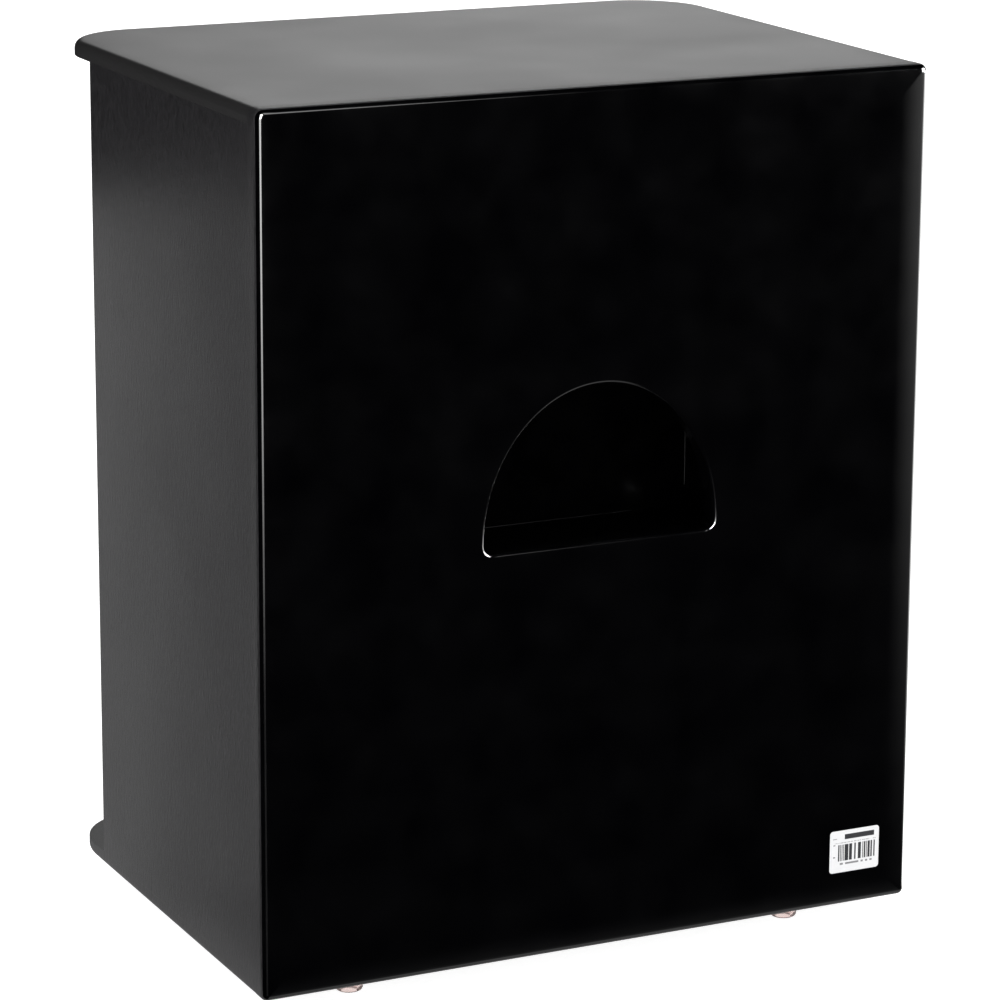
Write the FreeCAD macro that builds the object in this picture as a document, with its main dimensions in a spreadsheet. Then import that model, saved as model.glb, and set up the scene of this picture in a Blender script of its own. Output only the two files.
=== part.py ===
import FreeCAD, Part

import math
import os
import re

import Sketcher
from FreeCAD import Placement, Rotation, Vector

# Closed-back box drum (cajon) with a half-round grip niche in the back and two
# forward ports. Millimetres, +Z up. The origin is on the ground at the middle of
# the footprint: +X is the player's left, -Y the playing face and +Y the back.
# The boards are glued butt joints, so their faces meet flush.

SIZES = [
    # alias, value, what it measures
    ("box_width", 414.0, "outside width of the box"),
    ("box_depth", 315.0, "back face to the front edge of the seat"),
    ("box_tall", 500.0, "box without its feet"),
    ("board", 9.0, "seat, base, sides, baffles and niche boards"),
    ("back_board", 12.0, "back panel"),
    ("corner_radius", 47.0, "front corners of the seat and the base, in plan"),
    ("seat_round", 5.0, "rounding of the seat's upper edge"),
    ("base_round", 4.0, "rounding of the base's lower edge"),
    ("back_round", 3.8, "rounding of the back panel's outer edge"),
    ("port_reach", 63.0, "front edge of a side panel to the front of the seat"),
    ("panel_round", 1.2, "front vertical edges of the side panels"),
    ("grip_half_width", 72.2, "half width of the grip opening"),
    ("grip_rise", 85.9, "rise of the arch above its springing line"),
    ("grip_spring", 260.0, "springing line of the arch above the ground"),
    ("grip_sill", 5.4, "springing line down to the flat sill, and its corner radius"),
    ("grip_round", 1.2, "rounding of the opening's rim"),
    ("niche_half_width", 82.0, "half width inside the niche"),
    ("niche_depth", 53.0, "back face to the niche's inner wall"),
    ("niche_headroom", 7.0, "top of the arch to the niche's roof"),
    ("face_width", 314.0, "playing plate, and the inner box between the ports"),
    ("face_board", 3.2, "playing plate"),
    ("face_setback", 5.0, "front edge of the seat back to the playing plate"),
    ("face_gap", 0.4, "clearance above and below the playing plate"),
    ("face_round", 0.8, "edge rounding of the playing plate"),
    ("batten", 18.0, "frame battens and rear cleats, square"),
    ("baffle_length", 190.0, "port baffle, front to back"),
    ("snare_bar_deep", 14.0, "snare bar, front to back"),
    ("snare_bar_tall", 20.0, "snare bar, up and down"),
    ("snare_bar_up", 330.0, "underside of the snare bar above the ground"),
    ("snare_wire", 1.6, "outer diameter of a snare coil"),
    ("snare_length", 140.0, "length of a snare coil"),
    ("snare_pitch", 4.2, "one snare coil to the next"),
    ("snare_clip_wide", 58.0, "clip plate that holds the coils"),
    ("snare_clip_tall", 14.0, "clip plate that holds the coils"),
    ("snare_clip_sheet", 1.0, "clip plate thickness"),
    ("snare_clearance", 0.1, "snare coils to the playing plate at rest"),
    ("snare_offset", 72.0, "middle of the drum to the middle of a snare set"),
    ("snare_hold", 1.5, "lower edge of a clip to the lower end of its coils"),
    ("foot_tall", 13.0, "rubber foot"),
    ("foot_tread", 8.0, "radius of a foot on the ground"),
    ("foot_flange", 8.8, "radius of a foot against the base"),
    ("foot_edge", 2.0, "rounding of a foot's lower edge"),
    ("foot_recess", 4.4, "radius of the screw recess in a foot"),
    ("foot_web", 5.0, "rubber left above the recess"),
    ("foot_inset_side", 65.5, "side of the box to the middle of a foot"),
    ("foot_inset_end", 31.5, "front or back edge to the middle of a foot"),
    ("foot_hole", 3.0, "diameter of the screw hole in a foot"),
    ("label_wide", 33.4, "paper label"),
    ("label_tall", 26.0, "paper label"),
    ("label_sheet", 0.12, "paper label thickness"),
    ("label_corner", 2.0, "rounded corners of the label"),
    ("label_across", 171.0, "middle of the drum to the middle of the label"),
    ("label_up", 46.8, "middle of the label above the ground"),
]
SNARE_COILS = 10          # coils in one snare set
FACE_SCREW_ROWS = 6       # screws down each side of the playing plate
FACE_SCREW_EDGE = 9.0     # screw to the edge of the playing plate
CLIP_SCREW_EDGE = 4.5     # screw to the end of a snare clip
QUARTER_TURN = math.pi / 2

# Screws: radius of the head, its flat part and its cone, whole length, radius of the shank.
FACE_SCREW = (3.3, 0.2, 1.8, 16.0, 1.5)
FOOT_SCREW = (3.5, 2.4, 0.0, 14.0, 1.5)
CLIP_SCREW = (2.6, 1.0, 0.0, 10.0, 1.25)
POINT_LENGTH = 1.2            # length of a screw's point over the radius of its shank
RECESS = (1.1, 0.28, 0.55)    # length, width and depth of a cross slot over the head's radius

VALUE = {alias: value for alias, value, _ in SIZES}
nodes = []

doc = FreeCAD.newDocument("cajon")


# ---------------------------------------------------------------- helpers

def fill_sheet():
    """Write every driving size into the sheet under its alias."""
    sheet = doc.addObject("Spreadsheet::Sheet", "sizes")
    for row, (alias, value, note) in enumerate(SIZES, start=1):
        sheet.set("A%d" % row, alias)
        sheet.set("B%d" % row, "%g" % value)
        sheet.setAlias("B%d" % row, alias)
        sheet.set("C%d" % row, note)
    doc.recompute()


def bound(formula):
    """A formula written with aliases, as an expression on the sheet."""
    return re.sub(r"[a-z_]+", lambda word: "sizes." + word.group(), formula)


def place(piece, x="0", y="0", z="0"):
    """Put a piece's own origin where three formulas say."""
    for axis, formula in zip("xyz", (x, y, z)):
        piece.setExpression("Placement.Base." + axis, bound(formula))
    return piece


def keep(piece):
    """Count a finished piece as a node of the assembly."""
    nodes.append(piece)
    return piece


def edges_where(feature, test):
    """Names of a feature's edges whose bounding box passes the test."""
    shape = feature.Shape
    return ["Edge%d" % i for i, edge in enumerate(shape.Edges, start=1) if test(edge.BoundBox)]


def same(a, b):
    return abs(a - b) < 0.01


def origin_plane(body, role):
    return next(plane for plane in body.Origin.OriginFeatures if plane.Role == role)


def rectangle(sketch, width, height):
    """A rectangle centred on the sketch's origin, its sides bound to two formulas."""
    corners = [Vector(-10, -10), Vector(10, -10), Vector(10, 10), Vector(-10, 10)]
    lines = [Part.LineSegment(a, b) for a, b in zip(corners, corners[1:] + corners[:1])]
    sketch.addGeometry(lines, False)
    for side in range(4):
        sketch.addConstraint(Sketcher.Constraint("Coincident", side, 2, (side + 1) % 4, 1))
    for side in (0, 2):
        sketch.addConstraint(Sketcher.Constraint("Horizontal", side))
        sketch.addConstraint(Sketcher.Constraint("Vertical", side + 1))
    sketch.addConstraint(Sketcher.Constraint("Symmetric", 0, 1, 1, 2, -1, 1))
    across = sketch.addConstraint(Sketcher.Constraint("DistanceX", 0, 1, 0, 2, 20))
    upward = sketch.addConstraint(Sketcher.Constraint("DistanceY", 1, 1, 1, 2, 20))
    sketch.setExpression("Constraints[%d]" % across, bound(width))
    sketch.setExpression("Constraints[%d]" % upward, bound(height))


def new_sketch(body, name, role):
    sketch = body.newObject("Sketcher::SketchObject", name)
    sketch.AttachmentSupport = (origin_plane(body, role), "")
    sketch.MapMode = "FlatFace"
    return sketch


def board(name, role, width, height, thickness):
    """A flat board: a centred rectangle on an origin plane, padded to its thickness."""
    body = doc.addObject("PartDesign::Body", name)
    sketch = new_sketch(body, name + "_outline", role)
    rectangle(sketch, width, height)
    pad = body.newObject("PartDesign::Pad", name + "_pad")
    pad.Profile = sketch
    pad.setExpression("Length", bound(thickness))
    pad.Reversed = role == "XZ_Plane"     # so that every board grows along + its axis
    doc.recompute()
    return body


def fillet(body, radius, test):
    """Round the edges of a body's tip that pass the test."""
    feature = body.newObject("PartDesign::Fillet", "%s_round%d" % (body.Name, len(body.Group)))
    feature.Base = (body.Group[-2], edges_where(body.Group[-2], test))
    feature.setExpression("Radius", bound(radius))
    doc.recompute()


def cut(name, base, tool):
    """A piece drilled by the plain shape of its screws."""
    piece = doc.addObject("Part::Cut", name)
    piece.Base = base
    piece.Tool = tool
    return piece


# ------------------------------------------------------------- the box itself

def rounded_plate(name, outer_face, radius):
    """Seat or base: front corners rounded in plan, outer edge rounded on three sides."""
    body = board(name, "XY_Plane", "box_width", "box_depth - back_board", "board")
    front = -(VALUE["box_depth"] - VALUE["back_board"]) / 2
    fillet(body, "corner_radius", lambda b: same(b.YMax, front) and same(b.XLength, 0))
    back = -front
    level = VALUE["board"] if outer_face == "top" else 0.0
    fillet(body, radius, lambda b: same(b.ZMin, level) and same(b.ZMax, level)
           and not same(b.YMin, back))
    return body


def seat_and_base():
    seat = keep(rounded_plate("seat_plate", "top", "seat_round"))
    place(seat, y="-back_board / 2", z="foot_tall + box_tall - board")
    base = rounded_plate("base_blank", "bottom", "base_round")
    place(base, y="-back_board / 2", z="foot_tall")
    return base


def side_panel(name, sign):
    """Upright side board; its front edge stops short of the seat's round corner."""
    body = keep(board(name, "YZ_Plane", "box_depth - back_board - port_reach",
                      "box_tall - 2 * board", "board"))
    front = -(VALUE["box_depth"] - VALUE["back_board"] - VALUE["port_reach"]) / 2
    fillet(body, "panel_round", lambda b: same(b.YMax, front) and same(b.XLength, 0)
           and b.ZLength > VALUE["board"] * 2)
    inner = "box_width / 2 - board" if sign > 0 else "-box_width / 2"
    place(body, inner, "(port_reach - back_board) / 2", "foot_tall + box_tall / 2")


def grip_outline(sketch):
    """Half-ellipse arch on two quarter-round lower corners and a flat sill."""
    half, rise, sill = VALUE["grip_half_width"], VALUE["grip_rise"], VALUE["grip_sill"]
    up = Vector(0, 0, 1)
    ellipse = Part.Ellipse(Vector(0, rise, 0), Vector(-half, 0, 0), Vector(0, 0, 0))
    right = Part.Circle(Vector(half - sill, 0, 0), up, sill)
    left = Part.Circle(Vector(sill - half, 0, 0), up, sill)
    sketch.addGeometry([
        Part.ArcOfEllipse(ellipse, -QUARTER_TURN, QUARTER_TURN),
        Part.ArcOfCircle(right, -QUARTER_TURN, 0),
        Part.ArcOfCircle(left, 2 * QUARTER_TURN, 3 * QUARTER_TURN),
        Part.LineSegment(Vector(sill - half, -sill, 0), Vector(half - sill, -sill, 0)),
    ], False)
    sketch.exposeInternalGeometry(0)      # geometry 4 and 5 become the ellipse's two axes
    joins = [(0, 3, -1, 1), (0, 1, 1, 2), (0, 2, 2, 1), (1, 1, 3, 2), (2, 2, 3, 1)]
    for join in joins:
        sketch.addConstraint(Sketcher.Constraint("Coincident", *join))
    for geometry, point in ((0, 1), (0, 2), (1, 3), (2, 3)):
        sketch.addConstraint(Sketcher.Constraint("PointOnObject", geometry, point, -1))
    sketch.addConstraint(Sketcher.Constraint("Vertical", 1, 1, 1, 3))
    sketch.addConstraint(Sketcher.Constraint("Vertical", 2, 2, 2, 3))
    sketch.addConstraint(Sketcher.Constraint("Equal", 1, 2))
    sketch.addConstraint(Sketcher.Constraint("Vertical", 4))
    driven = [("Distance", 4, 2 * rise, "2 * grip_rise"),
              ("Distance", 5, 2 * half, "2 * grip_half_width"),
              ("Radius", 1, sill, "grip_sill")]
    for kind, geometry, value, formula in driven:
        index = sketch.addConstraint(Sketcher.Constraint(kind, geometry, value))
        sketch.setExpression("Constraints[%d]" % index, bound(formula))


def back_panel():
    """Full-size back with rounded edges and the arched grip opening."""
    body = keep(board("back_panel", "XZ_Plane", "box_width", "box_tall", "back_board"))
    half_width, half_tall, outer = VALUE["box_width"] / 2, VALUE["box_tall"] / 2, VALUE["back_board"]
    fillet(body, "seat_round", lambda b: same(b.YLength, outer) and same(b.ZMin, half_tall))
    fillet(body, "base_round", lambda b: same(b.YLength, outer) and same(b.ZMax, -half_tall))
    fillet(body, "back_round", lambda b: same(b.YMin, outer) and same(b.YMax, outer))
    solid_volume = body.Shape.Volume
    sketch = new_sketch(body, "grip_outline", "XZ_Plane")
    sketch.setExpression("AttachmentOffset.Base.y", bound("grip_spring - foot_tall - box_tall / 2"))
    grip_outline(sketch)
    pocket = body.newObject("PartDesign::Pocket", "grip_opening")
    pocket.Profile = sketch
    pocket.Type = "ThroughAll"
    doc.recompute()
    if body.Shape.Volume > 0.99 * solid_volume:
        pocket.Reversed = True
        doc.recompute()
    fillet(body, "grip_round", lambda b: same(b.YMin, outer) and same(b.YMax, outer)
           and abs(b.XMax) < half_width / 2 and abs(b.XMin) < half_width / 2)
    place(body, y="box_depth / 2 - back_board", z="foot_tall + box_tall / 2")


def niche():
    """Five boards that close the space behind the grip opening."""
    middle = "box_depth / 2 - (niche_depth + back_board) / 2"
    sill = "grip_spring - grip_sill"
    roof = "grip_spring + grip_rise + niche_headroom"
    inner = "grip_sill + grip_rise + niche_headroom"
    across = "2 * (niche_half_width + board)"
    for name, level in (("niche_floor", sill + " - board"), ("niche_roof", roof)):
        shelf = keep(board(name, "XY_Plane", across, "niche_depth - back_board", "board"))
        place(shelf, y=middle, z=level)
    for name, start in (("niche_left_wall", "niche_half_width"),
                        ("niche_right_wall", "-niche_half_width - board")):
        wall = keep(board(name, "YZ_Plane", "niche_depth - back_board", inner, "board"))
        place(wall, start, middle, sill + " + (" + inner + ") / 2")
    wall = keep(board("niche_inner_wall", "XZ_Plane", across, inner + " + 2 * board", "board"))
    place(wall, y="box_depth / 2 - niche_depth - board", z=sill + " + (" + inner + ") / 2")


# ------------------------------------------------------------ front and ports

PLATE_BACK = "-box_depth / 2 + face_setback + face_board"
UPRIGHT = "box_tall - 2 * board"


def batten(name, x, y):
    """A square upright from the base to the seat."""
    piece = board(name, "XY_Plane", "batten", "batten", UPRIGHT)
    return place(piece, x, y, "foot_tall + board")


def cross_batten(name, deep, tall, y, z):
    """A batten that runs between the two front stiles."""
    piece = board(name, "YZ_Plane", deep, tall, "face_width - 2 * batten")
    return place(piece, "-face_width / 2 + batten", y, z)


def front_frame(face_screws):
    """Playing plate, the frame that it is screwed to, and the walls of the two ports."""
    plate = board("plate_blank", "XZ_Plane", "face_width", UPRIGHT + " - 2 * face_gap", "face_board")
    fillet(plate, "face_round", lambda b: same(b.YMin, 0) and same(b.YMax, 0))
    place(plate, y="-box_depth / 2 + face_setback", z="foot_tall + box_tall / 2")
    keep(cut("playing_plate", plate, face_screws))
    behind = PLATE_BACK + " + batten / 2"
    for side, sign in (("left", ""), ("right", "-")):
        stile = batten(side + "_stile_blank", sign + "(face_width - batten) / 2", behind)
        keep(cut(side + "_front_stile", stile, face_screws))
        baffle = keep(board(side + "_port_baffle", "YZ_Plane", "baffle_length", UPRIGHT, "board"))
        start = "face_width / 2 - board" if sign == "" else "-face_width / 2"
        place(baffle, start, PLATE_BACK + " + batten + baffle_length / 2", "foot_tall + box_tall / 2")
        keep(batten(side + "_rear_cleat", sign + "(box_width / 2 - board - batten / 2)",
                    "box_depth / 2 - back_board - batten / 2"))
    for end, level in (("upper", "foot_tall + box_tall - board - batten / 2"),
                       ("lower", "foot_tall + board + batten / 2")):
        rail = cross_batten(end + "_rail_blank", "batten", "batten", behind, level)
        keep(cut(end + "_front_rail", rail, face_screws))


# -------------------------------------------------------------------- screws

def turned(profile):
    """Solid of revolution about Z through (radius, height) points."""
    points = [Vector(radius, 0, level) for radius, level in profile]
    face = Part.Face(Part.makePolygon(points + points[:1]))
    return face.revolve(Vector(0, 0, 0), Vector(0, 0, 1), 360)


def screw_solid(head, flat, cone, length, shank):
    """A screw that hangs from the top of its head at height 0, with a conical point."""
    point = POINT_LENGTH * shank
    return turned([(0, 0), (head, 0), (head, -flat), (shank, -flat - cone),
                   (shank, point - length), (0, -length)])


def cross_recess(head):
    """Two crossed slots sunk in the head."""
    long, wide, deep = (ratio * head for ratio in RECESS)
    slot = Part.makeBox(long, wide, deep, Vector(-long / 2, -wide / 2, -deep))
    return slot.fuse(slot.rotated(Vector(0, 0, 0), Vector(0, 0, 1), 90))


def screws(name, placements, size):
    """A node of equal screws, and a hidden plain copy that drills the wood."""
    plain = screw_solid(*size)
    driven = plain.cut(cross_recess(size[0]))
    node = keep(doc.addObject("Part::Feature", name))
    node.Shape = Part.makeCompound([driven.transformed(p.Matrix) for p in placements])
    tool = doc.addObject("Part::Feature", name + "_bore")
    tool.Shape = Part.makeCompound([plain.transformed(p.Matrix) for p in placements])
    return tool


def playing_plate_screws():
    """Countersunk screws down both sides and along both ends of the playing plate."""
    front = -VALUE["box_depth"] / 2 + VALUE["face_setback"]
    low = VALUE["foot_tall"] + VALUE["board"] + VALUE["face_gap"] + FACE_SCREW_EDGE
    high = 2 * VALUE["foot_tall"] + VALUE["box_tall"] - low
    side = VALUE["face_width"] / 2 - FACE_SCREW_EDGE
    step = (high - low) / (FACE_SCREW_ROWS - 1)
    spots = [(x, low + row * step) for x in (-side, side) for row in range(FACE_SCREW_ROWS)]
    spots += [(x, z) for x in (-side / 3, side / 3) for z in (low, high)]
    facing = Rotation(Vector(1, 0, 0), 90)
    placements = [Placement(Vector(x, front, z), facing) for x, z in spots]
    return screws("playing_plate_screws", placements, FACE_SCREW)


def foot_spots():
    """Name and centre of each foot."""
    across = VALUE["box_width"] / 2 - VALUE["foot_inset_side"]
    along = VALUE["box_depth"] / 2 - VALUE["foot_inset_end"]
    return [(end + "_" + side + "_foot", x, y) for end, y in (("front", -along), ("rear", along))
            for side, x in (("left", across), ("right", -across))]


def foot_screws():
    """Pan-head screws up through the feet into the base."""
    top_of_head = VALUE["foot_tall"] - VALUE["foot_web"] - FOOT_SCREW[1]
    upward = Rotation(Vector(1, 0, 0), 180)
    placements = [Placement(Vector(x, y, top_of_head), upward) for _, x, y in foot_spots()]
    return screws("foot_screws", placements, FOOT_SCREW)


def foot(name, x, y):
    """Tapered rubber foot with a recess for its screw."""
    cone = doc.addObject("Part::Cone", name + "_cone")
    for prop, alias in (("Radius1", "foot_tread"), ("Radius2", "foot_flange"), ("Height", "foot_tall")):
        cone.setExpression(prop, bound(alias))
    recess = doc.addObject("Part::Cylinder", name + "_recess")
    recess.setExpression("Radius", bound("foot_recess"))
    recess.setExpression("Height", bound("foot_tall - foot_web"))
    hole = doc.addObject("Part::Cylinder", name + "_hole")
    hole.setExpression("Radius", bound("foot_hole / 2"))
    hole.setExpression("Height", bound("foot_tall"))
    body = cut(name + "_cup", cut(name + "_cored", cone, recess), hole)
    doc.recompute()
    tread = [i for i, edge in enumerate(body.Shape.Edges, start=1)
             if same(edge.BoundBox.ZMax, 0) and same(edge.BoundBox.XLength, 2 * VALUE["foot_tread"])]
    rounded = keep(doc.addObject("Part::Fillet", name))
    rounded.Base = body
    rounded.Edges = [(tread[0], VALUE["foot_edge"], VALUE["foot_edge"])]
    rounded.Placement = Placement(Vector(x, y, 0), Rotation())


# -------------------------------------------------------------------- snares

def snare_sets():
    """Two sets of coils behind the playing plate, clipped to a bar between the stiles."""
    back = -VALUE["box_depth"] / 2 + VALUE["face_setback"] + VALUE["face_board"]
    clip_front = back + VALUE["snare_clearance"] + VALUE["snare_wire"]
    level = VALUE["snare_bar_up"] + VALUE["snare_bar_tall"] / 2
    reach = VALUE["snare_clip_wide"] / 2 - CLIP_SCREW_EDGE
    facing = Rotation(Vector(1, 0, 0), 90)
    middles = (VALUE["snare_offset"], -VALUE["snare_offset"])
    spots = [Placement(Vector(middle + offset, clip_front - CLIP_SCREW[1], level), facing)
             for middle in middles for offset in (reach, -reach)]
    bore = screws("snare_screws", spots, CLIP_SCREW)
    clear = PLATE_BACK + " + snare_clearance + snare_wire"
    bar_level = "snare_bar_up + snare_bar_tall / 2"
    blank = cross_batten("snare_bar_blank", "snare_bar_deep", "snare_bar_tall",
                         clear + " + snare_clip_sheet + snare_bar_deep / 2", bar_level)
    keep(cut("snare_bar", blank, bore))
    for side, sign in (("left", ""), ("right", "-")):
        sheet = board(side + "_clip_blank", "XZ_Plane", "snare_clip_wide", "snare_clip_tall",
                      "snare_clip_sheet")
        place(sheet, sign + "snare_offset", clear, bar_level)
        keep(cut(side + "_snare_clip", sheet, bore))
    start = level - VALUE["snare_clip_tall"] / 2 + VALUE["snare_hold"]
    depth = clip_front - VALUE["snare_wire"] / 2
    for side, middle in zip(("left", "right"), middles):
        keep(snare_coils(side + "_snare_coils", middle, depth, start))


def snare_coils(name, middle, depth, start):
    """Upright coils side by side, each as a rod of the coil's outer diameter."""
    radius, pitch = VALUE["snare_wire"] / 2, VALUE["snare_pitch"]
    first = middle - (SNARE_COILS - 1) * pitch / 2
    coils = doc.addObject("Part::Feature", name)
    coils.Shape = Part.makeCompound([
        Part.makeCylinder(radius, VALUE["snare_length"], Vector(first + n * pitch, depth, start))
        for n in range(SNARE_COILS)])
    return coils


def label():
    """Small paper label low on the back."""
    paper = keep(board("paper_label", "XZ_Plane", "label_wide", "label_tall", "label_sheet"))
    fillet(paper, "label_corner", lambda b: same(b.XLength, 0) and same(b.ZLength, 0))
    place(paper, "-label_across", "box_depth / 2", "label_up")


# ------------------------------------------------------------------ assembly

def check_and_write():
    """Stop on any failed object, then write each node to its own file."""
    for item in doc.Objects:
        if "Invalid" in item.State or "Error" in item.State:
            raise RuntimeError("%s is %s" % (item.Label, item.State))
    os.makedirs("parts", exist_ok=True)
    for piece in nodes:
        shape = piece.Shape
        if shape.isNull() or not shape.isValid() or shape.Volume <= 0:
            raise RuntimeError(piece.Label + " has no sound shape")
        shape.exportStep("parts/%s.step" % piece.Label)
        box = shape.BoundBox
        print("%-22s %2d solid(s)  x %7.1f %7.1f  y %7.1f %7.1f  z %6.1f %6.1f" % (
            piece.Label, len(shape.Solids), box.XMin, box.XMax, box.YMin, box.YMax, box.ZMin, box.ZMax))


fill_sheet()
base_blank = seat_and_base()
for side, sign in (("left", 1), ("right", -1)):
    side_panel(side + "_side_panel", sign)
back_panel()
niche()
front_frame(playing_plate_screws())
snare_sets()
keep(cut("base_plate", base_blank, foot_screws()))
for name, x, y in foot_spots():
    foot(name, x, y)
label()
doc.recompute()
check_and_write()
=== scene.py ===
# %% [markdown]
# # A black box drum, seen from behind
#
# A cajon is a wooden box that a player sits on and drums with both hands. This one turns its back to us: a
# glossy back board with a half-round grip, a seat and a base with round front corners, and satin sides.
# The solid model comes first and fixes every size. Everything here is laid over it in the same metres, so
# no piece has to be fitted by eye.

# %% Load the solid model
import math

import bmesh
import bpy
import numpy as np
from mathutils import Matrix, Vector


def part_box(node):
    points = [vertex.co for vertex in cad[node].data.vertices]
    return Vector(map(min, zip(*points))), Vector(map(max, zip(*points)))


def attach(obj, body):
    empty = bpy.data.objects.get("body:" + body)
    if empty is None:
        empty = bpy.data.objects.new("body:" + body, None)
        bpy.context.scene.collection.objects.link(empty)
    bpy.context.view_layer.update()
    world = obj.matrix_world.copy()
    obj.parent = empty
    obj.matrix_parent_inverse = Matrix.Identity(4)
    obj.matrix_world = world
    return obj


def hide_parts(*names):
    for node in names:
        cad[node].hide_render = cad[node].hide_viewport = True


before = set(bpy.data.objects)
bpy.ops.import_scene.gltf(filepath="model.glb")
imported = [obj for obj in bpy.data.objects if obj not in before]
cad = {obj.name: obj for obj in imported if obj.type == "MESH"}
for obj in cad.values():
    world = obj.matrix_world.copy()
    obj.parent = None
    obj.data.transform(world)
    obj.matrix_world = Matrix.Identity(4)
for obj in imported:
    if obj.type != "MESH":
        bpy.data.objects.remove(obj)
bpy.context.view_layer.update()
MM = 0.001
print("solid model:", len(cad), "nodes")

# %% [markdown]
# ## Measures
#
# Most sizes are read from the solid model's own boxes. The few that a box can't give, such as the radius of
# an edge, are named here in millimetres, as a maker would mark them on the drawing.

# %% Measures
back_low, back_high = (np.array(corner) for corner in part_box("back_panel"))
seat_low, seat_high = (np.array(corner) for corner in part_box("seat_plate"))
base_low, base_high = (np.array(corner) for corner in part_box("base_plate"))
floor_board_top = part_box("niche_floor")[1].z
HALF_WIDTH = back_high[0]
PLAN_CORNER = 47 * MM        # front corners of the seat and the base
SEAT_ROUND = 5 * MM          # upper edge of the seat
BASE_ROUND = 4 * MM          # lower edge of the base
BACK_ROUND = 3.8 * MM        # outer edge of the back board
GRIP_HALF = 72.2 * MM        # half width of the grip opening
GRIP_RISE = 85.9 * MM        # rise of its arch
GRIP_SPRING = 260 * MM       # height of the arch's springing line
GRIP_SILL = 5.4 * MM         # springing line down to the sill, and the radius of the lower corners
GRIP_RIM = 1.9 * MM          # rounding of the opening's rim
print("back board: %.0f x %.0f mm" % tuple((back_high - back_low)[[0, 2]] / MM))

# %% [markdown]
# ## Turning a grid of points into a mesh
#
# Every new piece is a surface worked out as one array: point (i, j) is where the surface is after i steps
# one way and j steps the other. Joining each point to its neighbours makes quads. A closed surface has a
# volume, and its sign tells whether the faces look out or in, so the helper turns them out when needed.

# %% Grid to mesh
def join(grid, wrap_rows, wrap_columns):
    """Quads of a grid: (i, j), (i+1, j), (i+1, j+1), (i, j+1), the last row or column joined to the first."""
    rows, columns = grid.shape[:2]
    i = np.arange(rows if wrap_rows else rows - 1)
    j = np.arange(columns if wrap_columns else columns - 1)
    i, j = np.meshgrid(i, j, indexing="ij")
    up, along = (i + 1) % rows, (j + 1) % columns
    corners = [i * columns + j, up * columns + j, up * columns + along, i * columns + along]
    return np.stack(corners, -1).reshape(-1, 4)


def signed_volume(points, quads):
    """A sixth of the sum of a . (b x c) over the triangles: above zero when the faces look outwards."""
    a, b, c, d = (points[quads[:, k]] for k in range(4))
    return (np.einsum("ij,ij->i", a, np.cross(b, c)) + np.einsum("ij,ij->i", a, np.cross(c, d))).sum() / 6


def weld(mesh, gap=1e-7):
    """Merges points that lie together, such as the two halves of a middle line, and drops empty faces."""
    shape = bmesh.new()
    shape.from_mesh(mesh)
    bmesh.ops.remove_doubles(shape, verts=shape.verts, dist=gap)
    bmesh.ops.dissolve_degenerate(shape, edges=shape.edges, dist=gap)
    shape.to_mesh(mesh)
    shape.free()


SHARP_ANGLE = math.radians(35)


def piece(name, points, quads, materials, replaces=(), finish=None):
    """A smooth-shaded mesh piece that rides on the drum. `finish` is the material index of each face."""
    points, quads = points.reshape(-1, 3), np.asarray(quads)
    if signed_volume(points, quads) < 0:
        quads = quads[:, ::-1]
    mesh = bpy.data.meshes.new(name)
    mesh.from_pydata(points.tolist(), [], quads.tolist())
    for material in materials:
        mesh.materials.append(material)
    if finish is not None:
        mesh.polygons.foreach_set("material_index", np.asarray(finish, dtype=np.int32))
    weld(mesh)
    mesh.shade_smooth()
    mesh.set_sharp_from_angle(angle=SHARP_ANGLE)
    thing = bpy.data.objects.new(name, mesh)
    bpy.context.scene.collection.objects.link(thing)
    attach(thing, "root")
    if replaces:
        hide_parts(*replaces)
    print("%-20s %6d faces" % (name, len(quads)))
    return thing


def arc(start, end, count):
    """Angles from start to end in degrees, as radians."""
    return np.radians(np.linspace(start, end, count))

# %% [markdown]
# ## Small node helpers
#
# A material is a graph. Six short helpers keep the graphs readable: a fresh material with its shader, a
# noise pattern on object coordinates, a rescaled number, a colour between two, a bump, and a finish for kept
# nodes. Object coordinates are metres on this drum, so a pattern's scale follows the size of the real grain.

# %% Node helpers
def new_material(name, **values):
    """An empty material with a Principled shader whose sockets are set to the given values."""
    material = bpy.data.materials.new(name)
    material.use_nodes = True
    shader = material.node_tree.nodes["Principled BSDF"]
    for socket, value in values.items():
        shader.inputs[socket.replace("_", " ")].default_value = value
    return material, material.node_tree, shader


def noise(tree, stretch, detail=3.0, roughness=0.55):
    """Noise of about one cell per 1/stretch metres along x, y and z."""
    where = tree.nodes.new("ShaderNodeTexCoord")
    mapping = tree.nodes.new("ShaderNodeMapping")
    mapping.inputs["Scale"].default_value = stretch
    texture = tree.nodes.new("ShaderNodeTexNoise")
    texture.inputs["Scale"].default_value = 1.0
    texture.inputs["Detail"].default_value = detail
    texture.inputs["Roughness"].default_value = roughness
    tree.links.new(where.outputs["Object"], mapping.inputs["Vector"])
    tree.links.new(mapping.outputs["Vector"], texture.inputs["Vector"])
    return texture.outputs["Fac"]


def spread(tree, value, low, high, start=0.3, end=0.7):
    """The value carried from start..end to low..high."""
    scale = tree.nodes.new("ShaderNodeMapRange")
    for socket, number in (("From Min", start), ("From Max", end), ("To Min", low), ("To Max", high)):
        scale.inputs[socket].default_value = number
    tree.links.new(value, scale.inputs["Value"])
    return scale.outputs["Result"]


def tint(tree, value, dark, light):
    """A colour between two, by a value from 0 to 1."""
    mix = tree.nodes.new("ShaderNodeMix")
    mix.data_type = "RGBA"
    mix.inputs[6].default_value = (*dark, 1)
    mix.inputs[7].default_value = (*light, 1)
    tree.links.new(value, mix.inputs[0])
    return mix.outputs[2]


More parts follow.
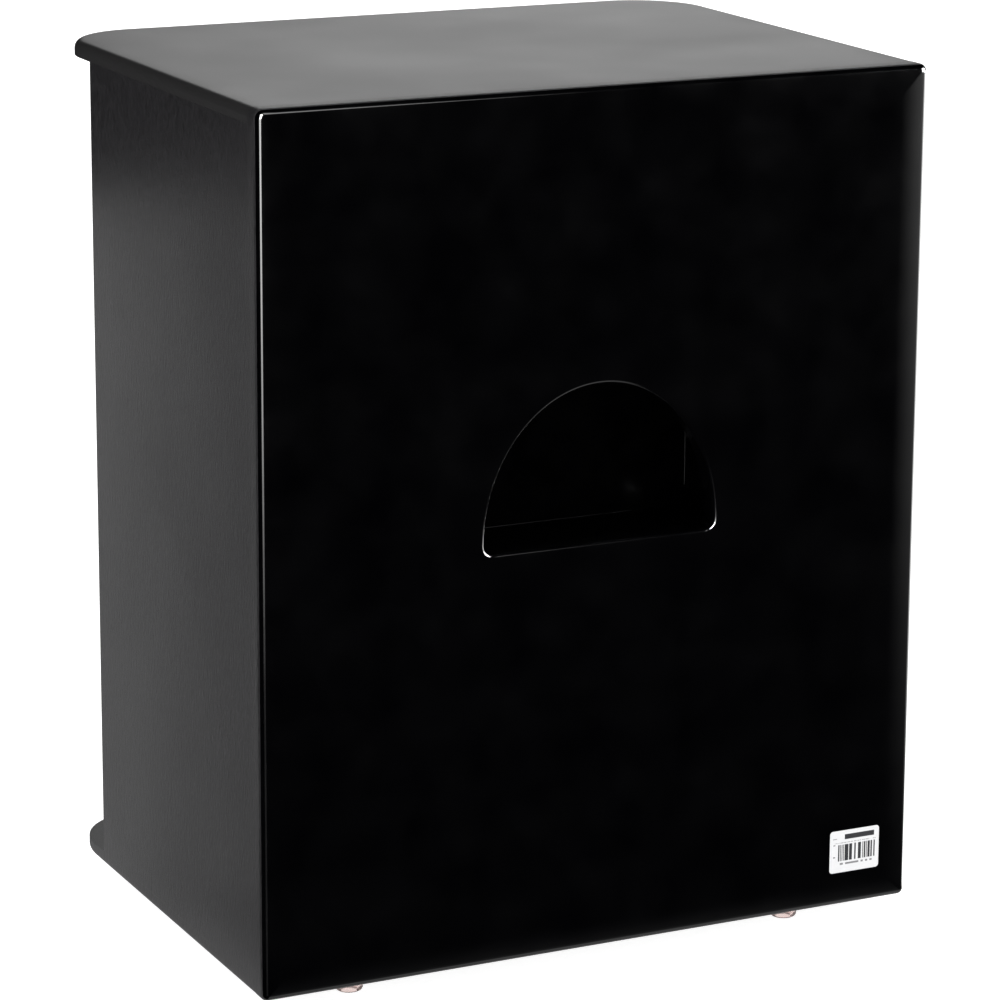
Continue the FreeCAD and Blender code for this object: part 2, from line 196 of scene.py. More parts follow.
def emboss(tree, shader, height, depth, strength=1.0):
    """Lets a pattern raise the surface by up to `depth` metres."""
    bump = tree.nodes.new("ShaderNodeBump")
    bump.inputs["Distance"].default_value = depth
    bump.inputs["Strength"].default_value = strength
    tree.links.new(height, bump.inputs["Height"])
    tree.links.new(bump.outputs["Normal"], shader.inputs["Normal"])


def dress(names, material):
    """Gives kept nodes of the solid model their finish."""
    for name in names:
        cad[name].data.materials.clear()
        cad[name].data.materials.append(material)

# %% [markdown]
# ## The satin coat
#
# The sides, seat and base carry a thin satin coat. On the sides fine upright streaks of the wood under it
# still show, each a fraction of a millimetre wide and several long, so the noise is squeezed across and
# drawn out along the grain. The seat was rubbed smoother and only has a fine tooth.

# %% Satin coat
def satin_coat(name, stretch, depth, roughness, dark, light):
    """Grain sets the colour and the relief, and wide clouds vary the roughness."""
    material, tree, shader = new_material(name, Roughness=roughness)
    grain = noise(tree, stretch, detail=4.0)
    cloud = noise(tree, (9, 9, 9), detail=2.0)
    colour = tint(tree, spread(tree, grain, 0, 1), dark, light)
    tree.links.new(colour, shader.inputs["Base Color"])
    tree.links.new(spread(tree, cloud, roughness - 0.02, roughness + 0.02), shader.inputs["Roughness"])
    emboss(tree, shader, grain, depth)
    return material


satin_side = satin_coat("satin_side", (1200, 1200, 220), 0.00022, 0.42,
                        (0.008, 0.0075, 0.0085), (0.023, 0.022, 0.024))
satin_seat = satin_coat("satin_seat", (900, 900, 900), 0.00006, 0.40,
                        (0.016, 0.0155, 0.016), (0.024, 0.0235, 0.024))
print("satin coat:", satin_side.name, satin_seat.name)

# %% [markdown]
# ## The gloss lacquer
#
# The back board is rubbed and polished: deep black, almost a mirror. What makes it read as lacquer and not
# as glass is the faint waviness of the film, a few centimetres from crest to crest.

# %% Gloss lacquer
def gloss_lacquer():
    """Nearly black, with a faint haze and long shallow waves."""
    material, tree, shader = new_material("gloss_lacquer", Roughness=0.06, IOR=1.5)
    haze = noise(tree, (25, 25, 25), detail=3.0)
    colour = tint(tree, spread(tree, haze, 0, 1), (0.0004, 0.0004, 0.0006), (0.0011, 0.0011, 0.0013))
    tree.links.new(colour, shader.inputs["Base Color"])
    tree.links.new(spread(tree, haze, 0.05, 0.08), shader.inputs["Roughness"])
    emboss(tree, shader, noise(tree, (45, 45, 45), detail=1.0), 0.00002)
    return material


gloss_black = gloss_lacquer()
print("gloss lacquer:", gloss_black.name)

# %% [markdown]
# ## The seat and the base
#
# Both are one board cut to the same plan: straight sides, round front corners, and a rounded edge on three
# sides. The back edge is square because the back board is glued against it. The shape is a profile of the
# edge carried along a U-shaped path, and each row of points then runs in flat to the middle line.

# %% Seat and base
def u_path(radius, straight=24, around=20, front=24):
    """The board's edge in plan, from the back left round the front to the back right, with its normals."""
    left, front_y, back_y = HALF_WIDTH, seat_low[1], seat_high[1]
    turn = arc(0, -90, around)
    side = np.stack([np.full(straight, left), np.linspace(back_y, front_y + radius, straight)], 1)[:-1]
    side_out = np.tile([1.0, 0.0], (len(side), 1))
    corner_out = np.stack([np.cos(turn), np.sin(turn)], 1)
    corner = np.array([left - radius, front_y + radius]) + radius * corner_out
    run = np.stack([np.linspace(left - radius, 0, front), np.full(front, front_y)], 1)[1:]
    run_out = np.tile([0.0, -1.0], (len(run), 1))
    half = np.concatenate([side, corner, run])
    out = np.concatenate([side_out, corner_out, run_out])
    mirror = np.array([-1.0, 1.0])
    return np.concatenate([half, half[-2::-1] * mirror]), np.concatenate([out, out[-2::-1] * mirror])


def edge_profile(low, high, rounding, top, crown=8 * MM, tilt=3.0):
    """(inset, height) pairs from the far face to the shown face: a straight edge, a quarter round that
    stops `tilt` degrees short, then a parabola that runs out flat. Turned over for the base."""
    turn = arc(0, 90 - tilt, 9)
    inset = rounding * (1 - np.cos(turn))
    level = rounding * np.sin(turn)
    slope = math.tan(math.radians(tilt))
    run = np.linspace(0, 1, 7)[1:]
    soft = crown * slope * (run - run ** 2 / 2)
    inset = np.concatenate([[6 * MM, 0.05 * MM, 0, 0], inset, inset[-1] + crown * run, [25 * MM]])
    rise = level[-1] + soft
    level = np.concatenate([level, rise, [rise[-1]]]) - rise[-1]
    far = -(high - low)
    level = np.concatenate([[far, far, far + 0.05 * MM, -rounding - 0.2 * MM], level])
    return inset, (high + level) if top else (low - level)


def edged_board(name, low, high, rounding, top, material, node):
    """A board between two heights, rounded on its upper edge (top) or its lower one."""
    path, out = u_path(PLAN_CORNER)
    inset, level = edge_profile(low, high, rounding, top)
    rows = path[None] - inset[:, None, None] * out[None]
    middle = np.stack([np.zeros(len(path)), np.clip(path[:, 1], seat_low[1] + 30 * MM, seat_high[1])], 1)
    rows[:, [0, -1], 1] = seat_high[1]
    rows = np.concatenate([middle[None], rows, middle[None]])
    level = np.concatenate([level[:1], level, level[-1:]])
    points = np.concatenate([rows, np.broadcast_to(level[:, None, None], (*rows.shape[:2], 1))], 2)
    piece(name, points, join(points, False, True), [material], (node,))
    print("   edge rounding %.1f mm" % (rounding / MM))


edged_board("seat", seat_low[2], seat_high[2], SEAT_ROUND, True, satin_seat, "seat_plate")
edged_board("base", base_low[2], base_high[2], BASE_ROUND, False, satin_side, "base_plate")

# %% [markdown]
# ## The back board
#
# The back is a plate with one hole, so its whole skin is a ring: start inside at the hole, run out over the
# inner face, round the outer edge, in over the shown face, and back through the hole. Each of those stages
# is a closed loop of the same number of points, and the skin joins one loop to the next. Polishing pulls
# the face down a little near the outer edge, and that soft crown is what catches light along the edges.

# %% Back board
LOOP_STEPS = (24, 9, 60, 9, 30)     # points on the bottom, corner, side, corner and top of half a loop


def mirrored(half):
    """Closes a half loop, from bottom middle to top middle, with its mirror image."""
    return np.concatenate([half, half[-2:0:-1] * np.array([-1.0, 1.0])])


def outer_loop(inset):
    """The board's outline moved in by `inset`; its corner radii shrink with it, but never to nothing."""
    x, low, high = HALF_WIDTH - inset, back_low[2] + inset, back_high[2] - inset
    under = max(BASE_ROUND - inset, 0.8 * MM)
    over = max(SEAT_ROUND - inset, 0.8 * MM)
    bottom, turn_low, side, turn_high, top = LOOP_STEPS
    first, second = arc(-90, 0, turn_low + 1), arc(0, 90, turn_high + 1)
    parts = [
        np.stack([np.linspace(0, x - under, bottom), np.full(bottom, low)], 1),
        np.stack([x - under + under * np.cos(first), low + under + under * np.sin(first)], 1)[1:],
        np.stack([np.full(side, x), np.linspace(low + under, high - over, side + 1)[1:]], 1),
        np.stack([x - over + over * np.cos(second), high - over + over * np.sin(second)], 1)[1:],
        np.stack([np.linspace(x - over, 0, top + 1)[1:], np.full(top, high)], 1),
    ]
    return mirrored(np.concatenate(parts))


def grip_loop(outset):
    """The grip's outline moved out by `outset`: flat sill, quarter-round corners and a half-ellipse arch."""
    bottom, turn, *rest = LOOP_STEPS
    corner, arch = arc(-90, 0, turn + 1)[1:], arc(0, 90, sum(rest) + 1)[1:]
    sill = np.stack([np.linspace(0, GRIP_HALF - GRIP_SILL, bottom), np.full(bottom, -GRIP_SILL)], 1)
    round_out = np.stack([np.cos(corner), np.sin(corner)], 1)
    curve = np.stack([GRIP_HALF * np.cos(arch), GRIP_RISE * np.sin(arch)], 1)
    curve_out = np.stack([np.cos(arch) / GRIP_HALF, np.sin(arch) / GRIP_RISE], 1)
    curve_out /= np.linalg.norm(curve_out, axis=1)[:, None]
    half = np.concatenate([sill, [GRIP_HALF - GRIP_SILL, 0] + GRIP_SILL * round_out, curve])
    out = np.concatenate([np.tile([0.0, -1.0], (bottom, 1)), round_out, curve_out])
    return mirrored(half + outset * out) + [0, GRIP_SPRING]


def back_skin(crown=15 * MM, tilt=4.0, satin_to=25.0):
    """Loops of the back board's skin, and which of them still carry the satin coat."""
    y_in, y_out = back_low[1], back_high[1]
    slope = math.tan(math.radians(tilt))
    sag = crown * slope / 2
    turn = arc(0, 90 - tilt, 15)
    inset = BACK_ROUND * (1 - np.cos(turn))
    drop = BACK_ROUND * (math.cos(math.radians(tilt)) - np.sin(turn)) + sag
    loops = [(grip_loop(0), y_in), (outer_loop(0), y_in), (outer_loop(0), y_in + 5 * MM)]
    loops += [(outer_loop(d), y_out - s) for d, s in zip(inset, drop)]
    run = np.linspace(0, 1, 13)[1:]
    loops += [(outer_loop(inset[-1] + crown * t), y_out - sag * (1 - t) ** 2) for t in run]
    loops += [(outer_loop(inset[-1] + crown + 4 * MM), y_out), (grip_loop(GRIP_RIM + 3 * MM), y_out)]
    rim = arc(90, 0, 9)
    loops += [(grip_loop(GRIP_RIM * (1 - math.cos(a))), y_out - GRIP_RIM * (1 - math.sin(a))) for a in rim]
    loops += [(grip_loop(0), y_out - 2 * GRIP_RIM), (grip_loop(0), y_in + 0.3 * MM)]
    points = np.stack([np.stack([loop[:, 0], np.full(len(loop), y), loop[:, 1]], 1) for loop, y in loops])
    coated = 3 + int(np.searchsorted(turn, math.radians(satin_to)))
    satin = np.zeros(len(loops), dtype=int)
    satin[:coated] = 1
    return points, satin


skin, satin_rows = back_skin()
back = piece("back_board", skin, join(skin, True, True), [gloss_black, satin_side],
             ("back_panel",), np.repeat(satin_rows, skin.shape[1]))

# %% [markdown]
# ## Paint fillets in the niche
#
# Where two painted boards meet, the paint pools into a small hollow fillet. It is only a millimetre wide,
# yet it is the one thing in the dark niche that catches light. Its section is a corner with a hollow
# quarter round, carried straight along each seam.

# %% Niche paint
def niche_paint(name, shine, roughness):
    """Black paint whose `shine` is its specular level."""
    material, tree, shader = new_material(name, Roughness=roughness, Specular_IOR_Level=shine)
    patchy = noise(tree, (60, 60, 60), detail=3.0)
    colour = tint(tree, spread(tree, patchy, 0, 1), (0.0002, 0.0002, 0.0003), (0.0008, 0.0008, 0.0009))
    tree.links.new(colour, shader.inputs["Base Color"])
    tree.links.new(spread(tree, patchy, roughness - 0.02, roughness + 0.03), shader.inputs["Roughness"])
    emboss(tree, shader, noise(tree, (300, 300, 300), detail=1.0), 0.000004)
    return material


niche_board = niche_paint("niche_board", 0.015, 0.18)
niche_seam = niche_paint("niche_seam", 0.20, 0.08)
dress(("niche_floor", "niche_roof", "niche_left_wall", "niche_right_wall", "niche_inner_wall"), niche_board)
print("niche paint on 5 boards")

# %% Paint fillets
def fillet(start, end, first, second, radius=1.0 * MM):
    """A hollow quarter round from start to end, between walls that face `first` and `second`."""
    start, end, first, second = (np.array(v, dtype=float) for v in (start, end, first, second))
    turn = arc(0, 90, 9)[:, None]
    hollow = radius * ((1 - np.cos(turn)) * first + (1 - np.sin(turn)) * second)
    section = np.concatenate([hollow, [[0, 0, 0]]]) - 0.02 * MM * (first + second)
    steps = np.linspace(0, 1, 12)[:, None, None]
    return start + (end - start) * steps + section[None]


INNER_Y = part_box("niche_inner_wall")[1].y
WALL_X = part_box("niche_left_wall")[0].x
ROOF_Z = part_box("niche_roof")[0].z
seams = [
    ((WALL_X, INNER_Y, floor_board_top), (WALL_X, INNER_Y, ROOF_Z), (-1, 0, 0), (0, 1, 0)),
    ((-WALL_X, INNER_Y, floor_board_top), (-WALL_X, INNER_Y, ROOF_Z), (1, 0, 0), (0, 1, 0)),
    ((-WALL_X, INNER_Y, floor_board_top), (WALL_X, INNER_Y, floor_board_top), (0, 0, 1), (0, 1, 0)),
    ((-WALL_X, INNER_Y, ROOF_Z), (WALL_X, INNER_Y, ROOF_Z), (0, 0, -1), (0, 1, 0)),
    ((WALL_X, INNER_Y, floor_board_top), (WALL_X, back_low[1], floor_board_top), (-1, 0, 0), (0, 0, 1)),
    ((-WALL_X, INNER_Y, floor_board_top), (-WALL_X, back_low[1], floor_board_top), (1, 0, 0), (0, 0, 1)),
]
for number, seam in enumerate(seams, start=1):
    points = fillet(*seam)
    piece("niche_fillet_%d" % number, points, join(points, False, True), [niche_seam])

# %% [markdown]
# ## The feet
#
# The four feet are turned cups of clear silicone with a faint rosy tint. The section below is carried once
# round the axis: up the outside, in under the base, down the screw hole, and out over the web and the recess.

# %% Feet
def silicone():
    """Clear rubber with cloudy roughness and a fine moulded tooth."""
    material, tree, shader = new_material("clear_rubber", Roughness=0.12, IOR=1.41, Transmission_Weight=0.85)
    cloud = noise(tree, (160, 160, 160), detail=2.0)
    colour = tint(tree, spread(tree, cloud, 0, 1), (0.86, 0.66, 0.62), (0.95, 0.82, 0.79))
    tree.links.new(colour, shader.inputs["Base Color"])
    tree.links.new(spread(tree, cloud, 0.08, 0.18), shader.inputs["Roughness"])
    emboss(tree, shader, noise(tree, (700, 700, 700), detail=2.0), 0.00002)
    return material


def foot_section():
    """(radius, height) of a foot: tread, 2 mm rounding, tapered side, hole, web and recess."""
    turn = arc(-90, 0, 8)
    tread = np.stack([6 + 2 * np.cos(turn), 2 + 2 * np.sin(turn)], 1)
    side = [(8.4, 7), (8.75, 12.4), (8.6, 12.9), (8.0, 13)]
    hole = [(1.8, 13), (1.5, 12.8), (1.5, 8.2), (1.8, 8), (4.2, 8), (4.4, 7.7), (4.4, 0.5), (4.8, 0.1)]
    return np.concatenate([tread, side, hole]) * MM


def turned(section, centre, around=64):
    """The section carried once round a vertical axis: (r cos a, r sin a, height)."""
    angle = np.linspace(0, 2 * np.pi, around, endpoint=False)[:, None]
    radius, level = section[:, 0], np.broadcast_to(section[:, 1], (around, len(section)))
    return np.stack([centre[0] + radius * np.cos(angle), centre[1] + radius * np.sin(angle), level], 2)


clear_rubber = silicone()
for end in ("front", "rear"):
    for side in ("left", "right"):
        node = "%s_%s_foot" % (end, side)
        low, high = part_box(node)
        points = turned(foot_section(), (low + high) / 2)
        piece("rubber_" + node, points, join(points, True, True), [clear_rubber], (node,))

# %% [markdown]
# ## The snares
#
# Two sets of fine steel coils rest against the back of the playing plate and give the drum its buzz. Each is
# a wire wound into a long spring. A helix is a circle that climbs steadily, and the wire is a small circle
# carried along it, so a whole set is one array: coil, step along the wire, and angle round the wire.

# %% Snares
def steel(name, grey, roughness, stretch):
    """Metal with brushed streaks; `stretch` says which way they run."""
    material, tree, shader = new_material(name, Metallic=1.0, Roughness=roughness)
    brushed = noise(tree, stretch, detail=3.0)
    colour = tint(tree, spread(tree, brushed, 0, 1), (grey * 0.85,) * 3, (grey, grey, grey * 1.02))
    tree.links.new(colour, shader.inputs["Base Color"])
    tree.links.new(spread(tree, brushed, roughness - 0.06, roughness + 0.08), shader.inputs["Roughness"])
    return material


def snare_set(low, high, coils=10, turns=90, steps=10, wire=0.22 * MM):
    """Coil centres spread evenly from side to side; a point is centre + helix + wire circle."""
    outer = (high[1] - low[1]) / 2
    middle = np.linspace(low[0] + outer, high[0] - outer, coils)[:, None, None]
    along = np.linspace(0, 1, turns * steps + 1)[None, :, None]
    around = np.linspace(0, 2 * np.pi, 5, endpoint=False)[None, None]
    angle = 2 * np.pi * turns * along
    reach = outer - wire + wire * np.cos(around)
    x = middle + reach * np.cos(angle)
    y = (low[1] + high[1]) / 2 + reach * np.sin(angle)
    z = low[2] + wire + (high[2] - low[2] - 2 * wire) * along + wire * np.sin(around)
    return np.stack(np.broadcast_arrays(x, y, z), 3)


snare_steel = steel("snare_steel", 0.62, 0.25, (2500, 2500, 2500))
for side in ("left", "right"):
    node = side + "_snare_coils"
    points = snare_set(*(np.array(corner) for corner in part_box(node)))
    quads = join(points[0], False, True)
    every = np.concatenate([quads + n * points[0].shape[0] * points[0].shape[1] for n in range(len(points))])
    piece(side + "_snares", points, every, [snare_steel], (node,))

# %% [markdown]
# ## The paper label
#
# A small white label sits low on the back. It carries a generic print only: one dark strip, a dotted line
# and a run of bars, all drawn by the material from positions on the label. Each mark is a rectangle, which
# in nodes is four comparisons multiplied together.

# %% Label
label_low, label_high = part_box("paper_label")


def maths(tree, operation, a, b=0.0):
    """A Math node on two inputs, each a number or another node's value."""
    node = tree.nodes.new("ShaderNodeMath")
    node.operation = operation
    for socket, value in zip(node.inputs, (a, b)):
        if isinstance(value, (int, float)):
            socket.default_value = value
        else:
            tree.links.new(value, socket)
    return node.outputs[0]


def patch(tree, u, v, left, right, bottom, top):
    """1 inside a rectangle of the label, else 0. u runs to the reader's right and v up, both from 0 to 1."""
    inside = maths(tree, "MULTIPLY", maths(tree, "GREATER_THAN", u, left), maths(tree, "LESS_THAN", u, right))
    level = maths(tree, "MULTIPLY", maths(tree, "GREATER_THAN", v, bottom), maths(tree, "LESS_THAN", v, top))
    return maths(tree, "MULTIPLY", inside, level)


def stripes(tree, u, count, share):
    """1 on a random share of `count` narrow columns across the label."""
    column = maths(tree, "FLOOR", maths(tree, "MULTIPLY", u, float(count)))
    chance = tree.nodes.new("ShaderNodeTexWhiteNoise")
    chance.noise_dimensions = "1D"
    tree.links.new(column, chance.inputs["W"])
    return maths(tree, "LESS_THAN", chance.outputs["Value"], share)


def printed_paper():
    """White fibres with the marks printed over them."""
    material, tree, shader = new_material("printed_paper", Roughness=0.7, Specular_IOR_Level=0.15)
    where = tree.nodes.new("ShaderNodeTexCoord")
    split = tree.nodes.new("ShaderNodeSeparateXYZ")
    tree.links.new(where.outputs["Object"], split.inputs[0])
    width, tall = label_high.x - label_low.x, label_high.z - label_low.z
    u = maths(tree, "DIVIDE", maths(tree, "SUBTRACT", label_high.x, split.outputs["X"]), width)
    v = maths(tree, "DIVIDE", maths(tree, "SUBTRACT", split.outputs["Z"], label_low.z), tall)
    marks = [
        (0.97, (0.30, 0.90, 0.78, 0.90), None),            # dark strip
        (0.55, (0.07, 0.94, 0.695, 0.715), (90, 0.55)),    # dotted line
        (0.97, (0.17, 0.92, 0.27, 0.66), (66, 0.50)),      # bars
        (0.70, (0.21, 0.87, 0.18, 0.225), (22, 0.75)),     # ticks under the bars
        (0.60, (0.06, 0.14, 0.80, 0.82), None),
        (0.75, (0.07, 0.11, 0.65, 0.675), None),
        (0.75, (0.07, 0.11, 0.36, 0.39), None),
    ]
    ink = 0.0
    for strength, corners, columns in marks:
        mark = patch(tree, u, v, *corners)
        if columns:
            mark = maths(tree, "MULTIPLY", mark, stripes(tree, u, *columns))
        ink = maths(tree, "MAXIMUM", ink, maths(tree, "MULTIPLY", mark, strength))
    fibre = noise(tree, (2500, 2500, 2500), detail=2.0)
    paper = tint(tree, spread(tree, fibre, 0, 1), (0.66, 0.66, 0.675), (0.72, 0.72, 0.725))
    both = tree.nodes.new("ShaderNodeMix")
    both.data_type = "RGBA"
    tree.links.new(ink, both.inputs[0])
    tree.links.new(paper, both.inputs[6])
    both.inputs[7].default_value = (0.012, 0.012, 0.015, 1)
    tree.links.new(both.outputs[2], shader.inputs["Base Color"])
    emboss(tree, shader, fibre, 0.00001)
    return material


dress(("paper_label",), printed_paper())
print("label: %.1f x %.1f mm" % ((label_high.x - label_low.x) / MM, (label_high.z - label_low.z) / MM))

# %% [markdown]
# ## Boards and battens kept from the solid model
#
# Flat boards and square battens already have the right shape, so they keep their own meshes and only get a
# finish. The playing plate is thin black-stained plywood whose grain runs up the drum. Hidden boards are
# painted a dull black, and the battens are bare softwood, its growth rings drawn out along each batten.

# %% Finishes for the kept boards
def dull_board(name, stretch, dark, light, roughness, depth):
    """Stain or paint over a wood figure drawn out by `stretch`."""
    material, tree, shader = new_material(name, Roughness=roughness)
    figure = noise(tree, stretch, detail=5.0, roughness=0.6)
    tree.links.new(tint(tree, spread(tree, figure, 0, 1), dark, light), shader.inputs["Base Color"])
    tree.links.new(spread(tree, figure, roughness - 0.06, roughness + 0.06), shader.inputs["Roughness"])
    emboss(tree, shader, figure, depth)
    return material


def softwood(name, stretch, rings):
    """Pale wood: growth rings as bands of a stretched noise, with fine pores over them."""
    material, tree, shader = new_material(name, Roughness=0.65)
    wander = noise(tree, rings, detail=2.0)
    wave = maths(tree, "SINE", maths(tree, "MULTIPLY", wander, 60.0))
    pores = noise(tree, stretch, detail=4.0)
    ring = spread(tree, wave, 0, 1, -1, 1)
    figure = maths(tree, "ADD", maths(tree, "MULTIPLY", ring, 0.6), maths(tree, "MULTIPLY", pores, 0.4))
    tree.links.new(tint(tree, figure, (0.62, 0.46, 0.29), (0.40, 0.25, 0.13)), shader.inputs["Base Color"])
    tree.links.new(spread(tree, pores, 0.58, 0.75), shader.inputs["Roughness"])
    emboss(tree, shader, pores, 0.00006)
    return material


dress(("left_side_panel", "right_side_panel"), satin_side)
stained_plywood = dull_board("stained_plywood", (500, 500, 14), (0.010, 0.010, 0.011),
                             (0.034, 0.032, 0.031), 0.48, 0.00012)
dull_black = dull_board("dull_black", (220, 220, 220), (0.009, 0.009, 0.009),
                        (0.022, 0.022, 0.021), 0.70, 0.00008)
dress(("playing_plate",), stained_plywood)
dress(("left_front_stile", "right_front_stile", "left_port_baffle", "right_port_baffle"), dull_black)
dress(("left_rear_cleat", "right_rear_cleat"), softwood("batten_up", (900, 900, 40), (40, 40, 2)))
dress(("upper_front_rail", "lower_front_rail", "snare_bar"),
      softwood("batten_across", (40, 900, 900), (2, 40, 40)))
dress(("playing_plate_screws",), steel("black_screw", 0.06, 0.38, (1800, 1800, 1800)))
dress(("foot_screws", "snare_screws", "left_snare_clip", "right_snare_clip"),
      steel("bright_steel", 0.58, 0.30, (300, 3000, 3000)))
print("finished nodes:", sum(len(node.data.materials) for node in cad.values()))

# %% [markdown]
# ## The floor
#
# The drum stands on a wide pale sheet that glows a little, so it stays white right up to the feet. Polished
# black would mirror such a floor and turn grey, so the wide sheet is left out of reflections. Small sheets
# take its place there: a dim one under the drum, and a brighter one along each side, whose glow climbs the
# foot of the satin panels.

# %% Floor
def floor_sheet(name, low, high, level, glow):
    """A flat sheet between two (x, y) corners, facing up."""
    material, tree, shader = new_material(name, Roughness=0.9, Emission_Strength=glow)
    shader.inputs["Emission Color"].default_value = (1, 1, 1, 1)
    cloud = spread(tree, noise(tree, (3, 3, 3)), 0, 1)
    tree.links.new(tint(tree, cloud, (0.50,) * 3, (0.52,) * 3), shader.inputs["Base Color"])
    corners = [(low[0], low[1], level), (high[0], low[1], level),
               (high[0], high[1], level), (low[0], high[1], level)]
    mesh = bpy.data.meshes.new(name)
    mesh.from_pydata(corners, [], [(0, 1, 2, 3)])
    mesh.materials.append(material)
    sheet = bpy.data.objects.new(name, mesh)
    bpy.context.scene.collection.objects.link(sheet)
    return sheet


def mirrored_sheet(name, low, high, glow):
    """A floor sheet that only reflections see."""
    sheet = floor_sheet(name, low, high, 0.0, glow)
    sheet.visible_camera = sheet.visible_diffuse = sheet.visible_shadow = False
    sheet.visible_transmission = False


FLOOR_DROP = -0.3 * MM       # the wide sheet lies a hair lower, so that no two sheets share a plane
BESIDE = 45 * MM             # width of the sheets beside the drum
wide_floor = floor_sheet("floor", (-12, -14), (12, 12), FLOOR_DROP, 0.90)
wide_floor.visible_glossy = wide_floor.visible_shadow = False
mirrored_sheet("floor_under", (-HALF_WIDTH, seat_low[1]), (HALF_WIDTH, back_high[1]), 0.25)
for side, left in (("left", HALF_WIDTH), ("right", -HALF_WIDTH - BESIDE)):
    mirrored_sheet("floor_" + side, (left, seat_low[1]), (left + BESIDE, back_high[1]), 0.10)
print("floor: one wide sheet, three mirrored ones")

# %% [markdown]
# ## The studio, as a map of directions
#
# A glossy black object shows little but what it mirrors, so the room is drawn as a function of direction:
# the bearing round the drum and the rise above the horizon, both in degrees. Each lamp or wall is a patch
# with soft borders, made of four smooth steps multiplied together. Only mirrored rays see this map. Every
# other ray finds an even white room, which gives the soft shadowless light.

# %% Directions and soft patches
scene = bpy.context.scene
world = bpy.data.worlds.new("studio")
scene.world = world
world.use_nodes = True
world.cycles.sampling_method = "NONE"
room = world.node_tree
room.nodes.clear()


def step(value, start, end):
    """0 before start, 1 after end, smooth between; start and end in degrees."""
    node = room.nodes.new("ShaderNodeMapRange")
    node.interpolation_type = "SMOOTHSTEP"
    node.inputs["From Min"].default_value = math.radians(start)
    node.inputs["From Max"].default_value = math.radians(end)
    room.links.new(value, node.inputs["Value"])
    return node.outputs["Result"]


def product(*factors):
    """All factors multiplied together."""
    total = factors[0]
    for factor in factors[1:]:
        total = maths(room, "MULTIPLY", total, factor)
    return total


axes = room.nodes.new("ShaderNodeSeparateXYZ")
room.links.new(room.nodes.new("ShaderNodeTexCoord").outputs["Generated"], axes.inputs[0])
bearing = maths(room, "ARCTAN2", axes.outputs["Y"], axes.outputs["X"])
rise = maths(room, "ARCSINE", axes.outputs["Z"])
print("directions: bearing and rise")

# %% [markdown]
# ## The lamps and walls
#
# The patches follow a studio's plan. A tall strip box behind the drum draws the bright line down the
# back's left edge, and an overhead lamp traces its top edge. A white wall and its bright end fill the right
# edge, a backdrop in front gives the seat its sheen, and the table's edge lifts the foot of the back.

# %% Lamps and walls
def patch_of_light(around, above, strength):
    """A patch with soft borders; `around` and `above` say where it starts, is full, still is, and ends."""
    sides = [step(bearing, around[0], around[1]), step(bearing, around[3], around[2])]
    edges = [step(rise, above[0], above[1]), step(rise, above[3], above[2])]
    return product(*sides, *edges, strength)


table_glow = maths(room, "SUBTRACT", 0.9, product(step(rise, -50, -68), 0.5))
wall_sheen = maths(room, "ADD", 1.0, product(step(bearing, 138, 165), 2.0))
patches = [
    patch_of_light((64, 73, 91, 96), (-17.5, -9, -5, 1), 15.0),          # strip box
    patch_of_light((64, 73, 91, 96), (-30, -17, -8, 0), 0.25),           # its foot
    patch_of_light((110, 112, 116, 119), (18, 22, 44, 50), 5.0),         # overhead lamp
    patch_of_light((121, 133, 180, 181), (-21, -8, 2, 12), wall_sheen),  # white wall
    patch_of_light((138, 160, 180, 181), (-19, -14, -5, 2), 8.0),        # its bright end
    patch_of_light((-181, -180, -150, -125), (-27, -14, -5, 2), 8.0),    # round the corner of it
    patch_of_light((-100, -117, -119, -131), (3, 11, 18, 28), 2.3),      # backdrop in front
    product(step(bearing, 108, 124), step(rise, -21, -48), table_glow),  # edge of the table
]
lights = patches[0]
for light in patches[1:]:
    lights = maths(room, "ADD", lights, light)
print("lamps and walls:", len(patches))

# %% The room
ROOM_WHITE = 1.3             # the even room that all but mirrored rays find


def backing(strength):
    """An evenly white background of the given strength, a number or another node's value."""
    node = room.nodes.new("ShaderNodeBackground")
    node.inputs["Color"].default_value = (1, 1, 1, 1)
    if isinstance(strength, float):
        node.inputs["Strength"].default_value = strength
    else:
        room.links.new(strength, node.inputs["Strength"])
    return node.outputs[0]


choice = room.nodes.new("ShaderNodeMixShader")
room.links.new(room.nodes.new("ShaderNodeLightPath").outputs["Is Glossy Ray"], choice.inputs["Fac"])
room.links.new(backing(ROOM_WHITE), choice.inputs[1])
room.links.new(backing(lights), choice.inputs[2])
room.links.new(choice.outputs[0], room.nodes.new("ShaderNodeOutputWorld").inputs["Surface"])
print("room:", len(room.nodes), "nodes")

# %% [markdown]
# ## A card close to the drum
#
# The satin side fades from its front edge to the back. A map of directions can't do that, because it is
# equally far from every point. A real card can: it stands close to the front edge, and its reflection
# weakens with distance. Its power is what makes its face shine evenly with the stated radiance.

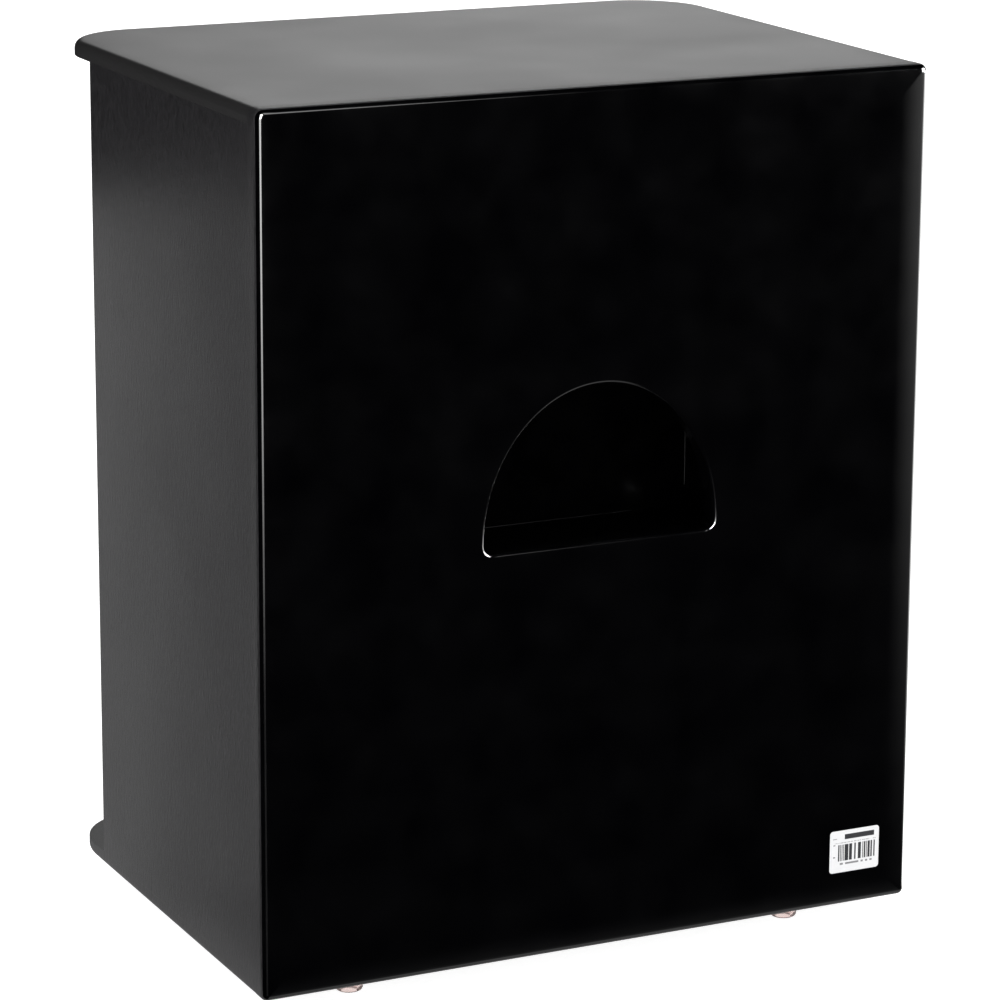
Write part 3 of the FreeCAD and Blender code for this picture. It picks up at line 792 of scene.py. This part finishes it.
# %% Side card
def card(name, radiance, place, aim, width, tall):
    """A lit card turned from its place towards the aim point; power = radiance x pi x area."""
    light = bpy.data.lights.new(name, "AREA")
    light.shape, light.size, light.size_y = "RECTANGLE", width, tall
    light.energy = radiance * math.pi * width * tall
    thing = bpy.data.objects.new(name, light)
    scene.collection.objects.link(thing)
    thing.location = place
    thing.rotation_euler = (Vector(aim) - Vector(place)).to_track_quat("-Z", "Y").to_euler()
    thing.visible_camera = False
    print("%s: %.2f x %.2f m" % (name, width, tall))
    return thing


card("side_card", 0.95, (0.29, -0.28, 0.02), (HALF_WIDTH, -0.09, 0.02), 0.10, 0.74)

# %% [markdown]
# ## Lamps for the corners of the grip
#
# The polished corners of the grip each catch one spark. The lamps that make them must be very bright, and
# would bleach the satin seat, so they are linked to the back board alone, as black cloth flags lamps off in
# a studio. They stand a few metres off, in the direction that each corner mirrors.

# %% Lamps for the grip's corners
polished = bpy.data.collections.new("polished")
polished.objects.link(back)
grip_middle = Vector((0, back_high[1], GRIP_SPRING))
LAMP_AWAY = 4.0              # metres
SPARK = 90.0                 # radiance of the corner lamps


def corner_lamp(name, radiance, around, above):
    """A lamp that fills the bearings `around` and the rises `above`, both (from, to) in degrees."""
    turn, lift = (math.radians(sum(ends) / 2) for ends in (around, above))
    place = Vector((math.cos(turn) * math.cos(lift), math.sin(turn) * math.cos(lift), math.sin(lift)))
    size = [2 * LAMP_AWAY * math.tan(math.radians(ends[1] - ends[0]) / 2) for ends in (around, above)]
    lamp = card(name, radiance, grip_middle + LAMP_AWAY * place, grip_middle, *size)
    lamp.visible_diffuse = False
    lamp.light_linking.receiver_collection = polished


corner_lamp("left_corner_lamp", SPARK, (130, 165), (-2, 26))
corner_lamp("right_corner_lamp", SPARK, (74, 97), (-4, 34))

# %% [markdown]
# ## The camera
#
# A long lens from behind and a little above, turned to the drum's left rear edge. The angles are Euler
# angles: tilt up from straight down, a slight roll, and the turn about the vertical.

# %% Camera
lens = bpy.data.cameras.new("camera")
lens.lens = 148.37
lens.shift_x, lens.shift_y = -0.0506, -0.0696
camera = bpy.data.objects.new("camera", lens)
scene.collection.objects.link(camera)
camera.location = (1.0248, 2.1448, 0.8611)
camera.rotation_euler = [math.radians(angle) for angle in (76.367, -0.472, 153.572)]
scene.camera = camera
scene.view_settings.view_transform = "Standard"
print("camera: %.2f m from the drum's axis" % math.hypot(*camera.location[:2]))
